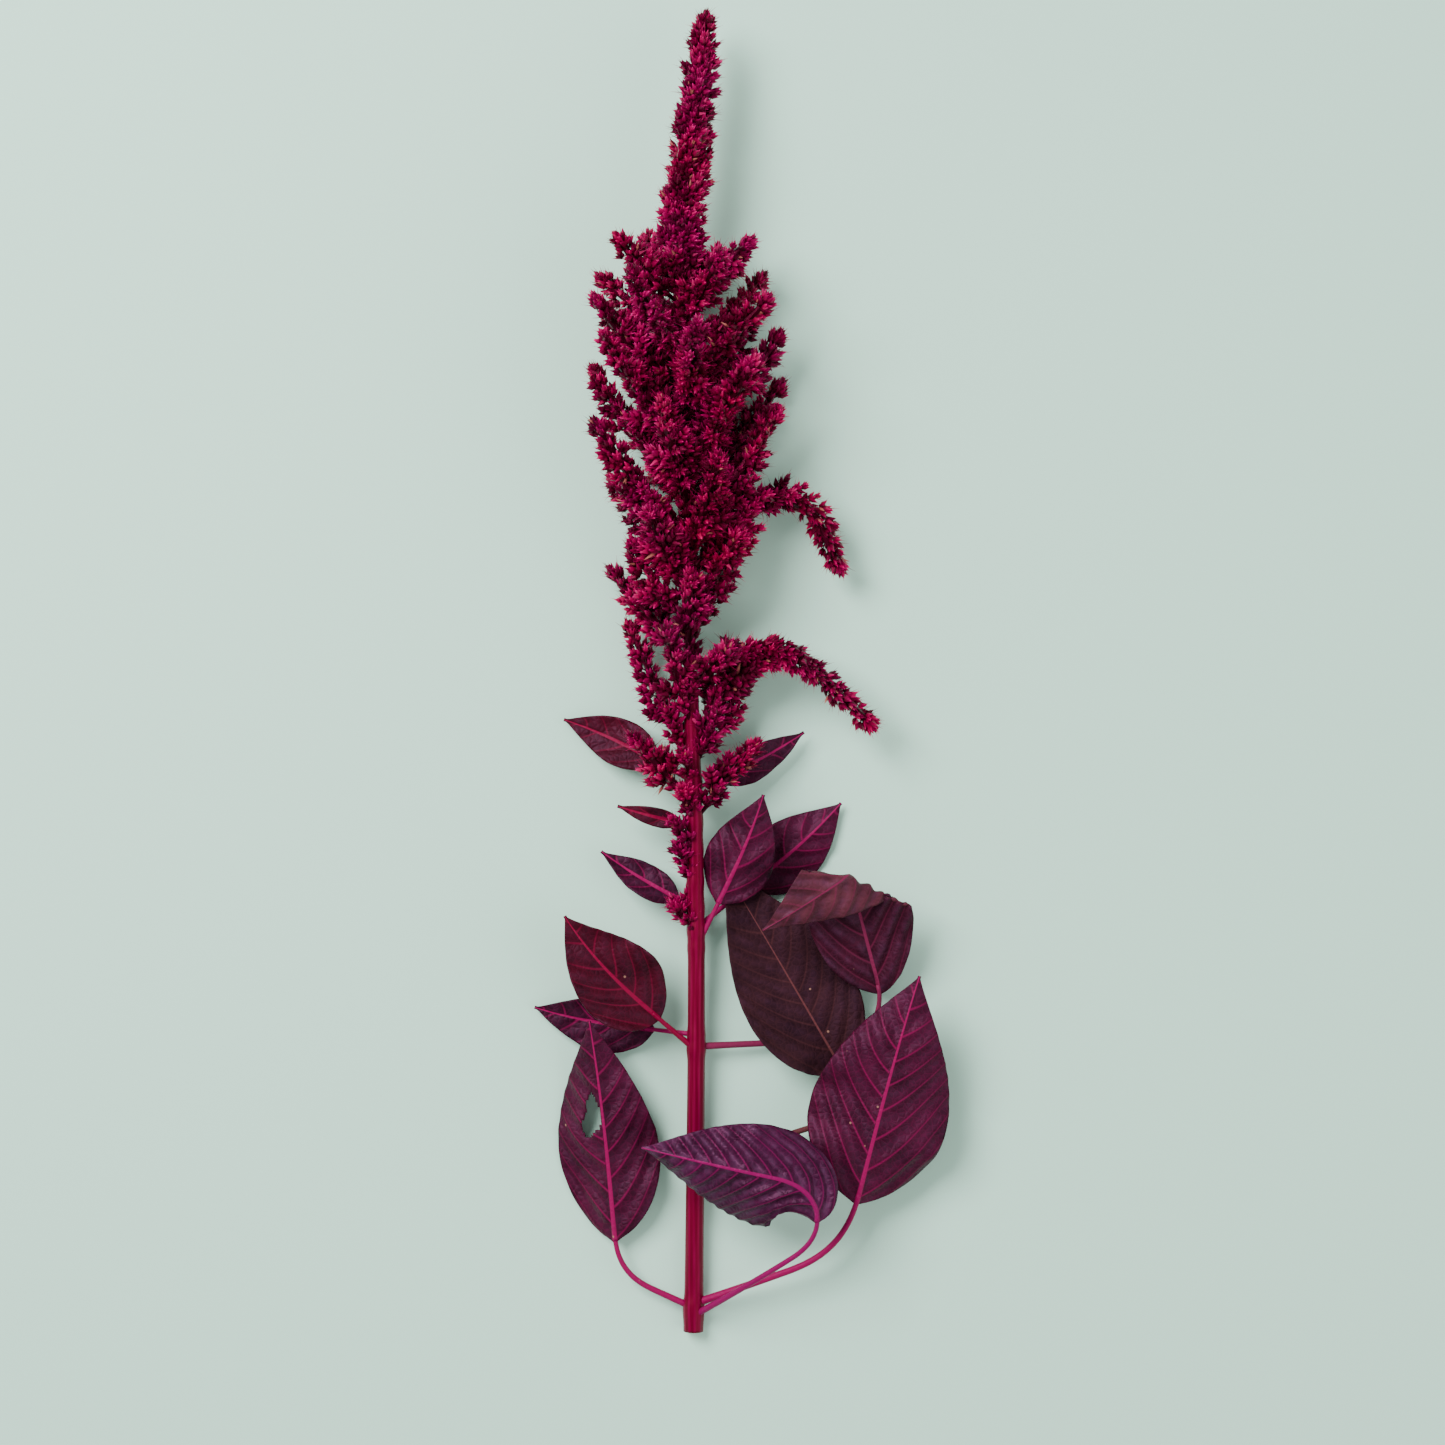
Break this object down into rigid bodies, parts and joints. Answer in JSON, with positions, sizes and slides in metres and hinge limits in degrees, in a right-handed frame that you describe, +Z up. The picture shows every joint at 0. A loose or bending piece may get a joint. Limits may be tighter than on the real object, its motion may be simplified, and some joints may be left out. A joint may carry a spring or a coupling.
{
  "type": "amaranth seed head",
  "caption": "Cut stem of red amaranth lying flat, with a dense branched head of short floret spikes, arching side spikes and broad pointed leaves.",
  "frame": {"origin": "middle of the outline seen from above, on the surface that the head lies on", "axes": "+Y along the stem, from its cut end to the tip of the main spike; +X to the right seen from above; +Z up from the surface"},
  "size_m": [0.2098, 0.6634, 0.0833],
  "materials": {
    "stem": "satin",
    "florets": "matte",
    "leaf": "satin"
  },
  "bodies": {
    "root": {"stem": "stem", "main_spike": "florets", "side_spike_01": "florets", "side_spike_02": "florets", "side_spike_03": "florets", "side_spike_04": "florets", "side_spike_05": "florets", "side_spike_06": "florets", "side_spike_08": "florets", "side_spike_09": "florets", "side_spike_10": "florets", "side_spike_11": "florets", "side_spike_12": "florets", "side_spike_13": "florets", "side_spike_14": "florets", "side_spike_15": "florets", "side_spike_16": "florets", "side_spike_17": "florets", "side_spike_18": "florets", "side_spike_19": "florets", "side_spike_20": "florets", "side_spike_21": "florets", "side_spike_22": "florets", "side_spike_23": "florets", "side_spike_24": "florets", "side_spike_25": "florets", "side_spike_26": "florets", "side_spike_27": "florets", "side_spike_28": "florets", "side_spike_29": "florets", "side_spike_30": "florets", "side_spike_31": "florets", "side_spike_32": "florets", "side_spike_33": "florets", "side_spike_34": "florets", "arching_spike": "florets", "low_arching_spike": "florets", "low_spike_1": "florets", "low_spike_2": "florets", "low_spike_3": "florets", "low_spike_4": "florets", "low_spike_5": "florets", "low_spike_6": "florets", "leaf_01": "leaf", "leaf_02": "leaf", "leaf_03": "leaf", "leaf_04": "leaf", "leaf_05": "leaf", "leaf_06": "leaf", "leaf_07": "leaf", "leaf_08": "leaf", "leaf_09": "leaf", "leaf_10": "leaf", "leaf_11": "leaf", "leaf_12": "leaf", "leaf_13": "leaf"}
  },
  "joints": []
}
